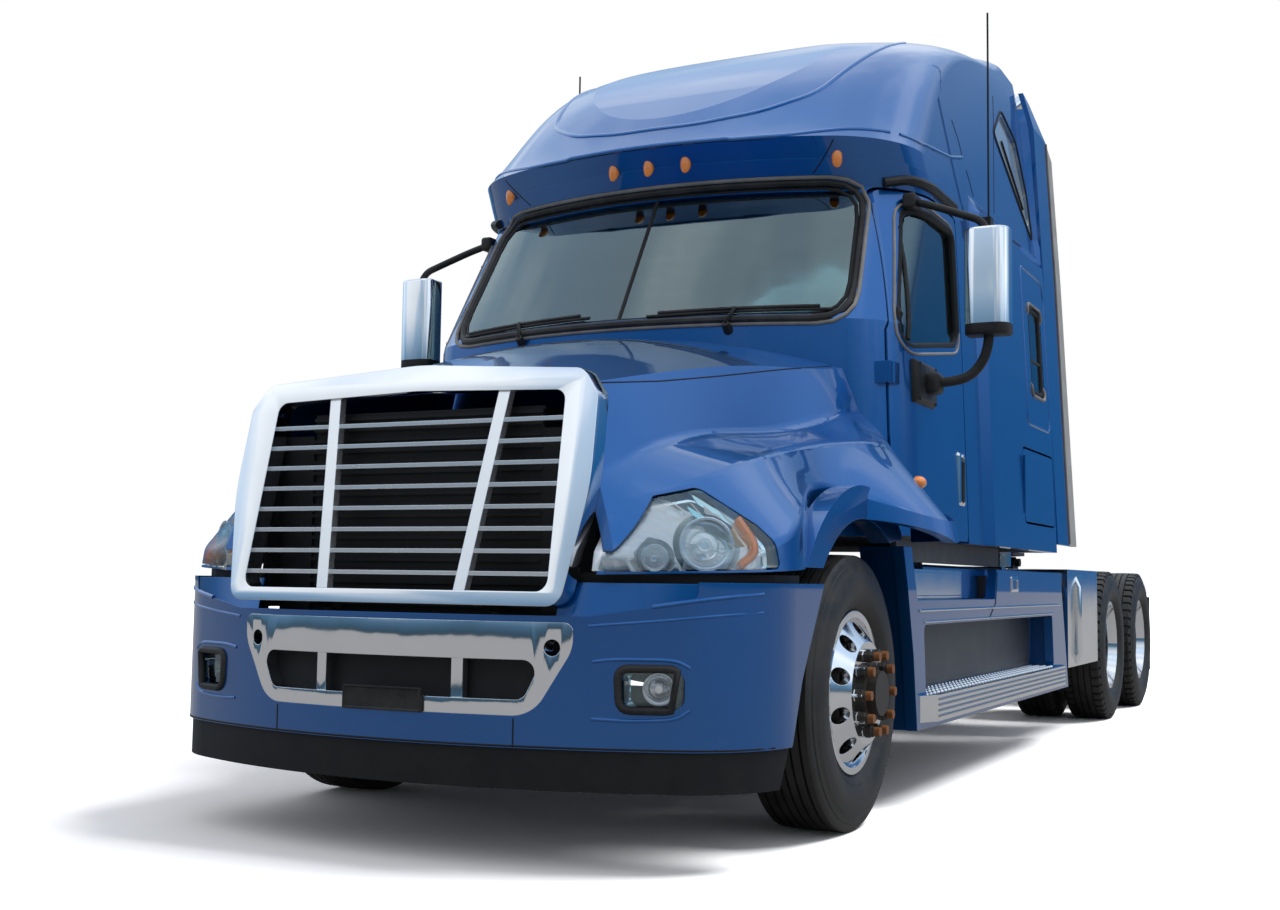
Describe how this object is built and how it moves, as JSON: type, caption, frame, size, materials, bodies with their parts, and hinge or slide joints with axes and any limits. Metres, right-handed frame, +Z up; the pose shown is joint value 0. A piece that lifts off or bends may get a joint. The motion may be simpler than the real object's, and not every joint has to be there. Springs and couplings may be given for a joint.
{
  "type": "semi truck tractor unit with sleeper cab",
  "caption": "Long-nose sleeper-cab road tractor with tilting hood, opening doors, steered front axle, twin driven axles and a fifth wheel coupling.",
  "frame": {"origin": "on the ground at the centre of the footprint, midway between the bumper's face and the frame's end", "axes": "+Z up, nose towards -Y, the truck's left side towards +X"},
  "size_m": [3.09, 8.8019, 3.9346],
  "materials": {
    "blue_paint": "gloss",
    "chrome": "polished",
    "polished_aluminium": "polished",
    "aluminium": "satin",
    "tyre": "matt",
    "black_plastic": "matt",
    "grey_rubber": "matt",
    "glass": "clear",
    "lens": "clear",
    "chassis_black": "satin",
    "cast_iron": "rough",
    "amber": "gloss",
    "fabric": "woven",
    "grey_plastic": "matt"
  },
  "bodies": {
    "chassis": {"frame_rails": "chassis_black", "front_axle": "chassis_black", "drive_axles": "chassis_black", "engine_block": "cast_iron", "radiator": "black_plastic", "bumper": "blue_paint", "bumper_chrome": "chrome", "bumper_mesh": "black_plastic", "fog_lamps": "lens", "air_dam": "black_plastic", "cab_floor": "grey_plastic", "cab_front": "blue_paint", "sleeper_left": "blue_paint", "sleeper_right": "blue_paint", "sleeper_back": "blue_paint", "roof_cap": "blue_paint", "cab_glass": "glass", "dashboard": "grey_plastic", "seats": "fabric", "side_extenders": "blue_paint", "extender_rubbers": "grey_rubber", "exhaust_stack": "chrome", "step_fairings": "blue_paint", "steps": "polished_aluminium", "fuel_tanks": "aluminium", "fifth_wheel_base": "chassis_black", "antennas": "black_plastic", "lamps": "amber", "wipers": "black_plastic", "mud_flaps": "black_plastic"},
    "hood": {"hood": "blue_paint", "grille_surround": "chrome", "grille_bars": "chrome", "headlamp_lenses": "lens", "headlamp_bodies": "chrome"},
    "door_left": {"door_left": "blue_paint", "door_glass_left": "glass", "mirror_left": "chrome"},
    "baggage_left": {"baggage_door_left": "blue_paint"},
    "knuckle_left": {"knuckle_left": "cast_iron"},
    "front_wheel_left": {"wheel_front_left": "polished_aluminium", "tyre_front_left": "tyre"},
    "drive_front_left": {"wheels_drive_front_left": "polished_aluminium", "tyres_drive_front_left": "tyre"},
    "drive_rear_left": {"wheels_drive_rear_left": "polished_aluminium", "tyres_drive_rear_left": "tyre"},
    "door_right": {"door_right": "blue_paint", "door_glass_right": "glass", "mirror_right": "chrome"},
    "baggage_right": {"baggage_door_right": "blue_paint"},
    "knuckle_right": {"knuckle_right": "cast_iron"},
    "front_wheel_right": {"wheel_front_right": "polished_aluminium", "tyre_front_right": "tyre"},
    "drive_front_right": {"wheels_drive_front_right": "polished_aluminium", "tyres_drive_front_right": "tyre"},
    "drive_rear_right": {"wheels_drive_rear_right": "polished_aluminium", "tyres_drive_rear_right": "tyre"},
    "fifth_wheel": {"fifth_wheel_plate": "chassis_black"},
    "steering_wheel": {"steering_wheel": "grey_plastic"}
  },
  "joints": [
    {"name": "hood_tilt", "type": "hinge", "parent": "chassis", "child": "hood", "pos_m": [0, -4.37, 0.838], "axis": [1, 0, 0], "range_deg": [0, 60]},
    {"name": "door_left_swing", "type": "hinge", "parent": "chassis", "child": "door_left", "pos_m": [1.128, -2.482, 1.54], "axis": [0, 0, -1], "range_deg": [0, 65]},
    {"name": "baggage_left_swing", "type": "hinge", "parent": "chassis", "child": "baggage_left", "pos_m": [1.22, -0.416, 1.445], "axis": [0, 0, -1], "range_deg": [0, 100]},
    {"name": "steer_left", "type": "hinge", "parent": "chassis", "child": "knuckle_left", "pos_m": [0.87, -3.07, 0.508], "axis": [0, 0, 1], "range_deg": [-40, 40]},
    {"name": "front_wheel_left_spin", "type": "hinge", "parent": "knuckle_left", "child": "front_wheel_left", "pos_m": [1.042, -3.07, 0.508], "axis": [1, 0, 0], "continuous": true},
    {"name": "drive_front_left_spin", "type": "hinge", "parent": "chassis", "child": "drive_front_left", "pos_m": [0.9, 2.41, 0.508], "axis": [1, 0, 0], "continuous": true},
    {"name": "drive_rear_left_spin", "type": "hinge", "parent": "chassis", "child": "drive_rear_left", "pos_m": [0.9, 3.73, 0.508], "axis": [1, 0, 0], "continuous": true},
    {"name": "door_right_swing", "type": "hinge", "parent": "chassis", "child": "door_right", "pos_m": [-1.128, -2.482, 1.54], "axis": [0, 0, 1], "range_deg": [0, 65]},
    {"name": "baggage_right_swing", "type": "hinge", "parent": "chassis", "child": "baggage_right", "pos_m": [-1.22, -0.416, 1.445], "axis": [0, 0, 1], "range_deg": [0, 100]},
    {"name": "steer_right", "type": "hinge", "parent": "chassis", "child": "knuckle_right", "pos_m": [-0.87, -3.07, 0.508], "axis": [0, 0, 1], "range_deg": [-40, 40]},
    {"name": "front_wheel_right_spin", "type": "hinge", "parent": "knuckle_right", "child": "front_wheel_right", "pos_m": [-1.042, -3.07, 0.508], "axis": [1, 0, 0], "continuous": true},
    {"name": "drive_front_right_spin", "type": "hinge", "parent": "chassis", "child": "drive_front_right", "pos_m": [-0.9, 2.41, 0.508], "axis": [1, 0, 0], "continuous": true},
    {"name": "drive_rear_right_spin", "type": "hinge", "parent": "chassis", "child": "drive_rear_right", "pos_m": [-0.9, 3.73, 0.508], "axis": [1, 0, 0], "continuous": true},
    {"name": "fifth_wheel_tilt", "type": "hinge", "parent": "chassis", "child": "fifth_wheel", "pos_m": [0, 2.93, 1.08], "axis": [1, 0, 0], "range_deg": [-12, 12]},
    {"name": "steering_wheel_turn", "type": "hinge", "parent": "chassis", "child": "steering_wheel", "pos_m": [-0.56, -2.11, 1.99], "axis": [0, 0.9063, 0.4226], "range_deg": [-640, 640]}
  ],
  "couplings": [
    {"joint": "steer_right", "follows": "steer_left", "ratio": 1},
    {"joint": "steering_wheel_turn", "follows": "steer_left", "ratio": 16}
  ]
}
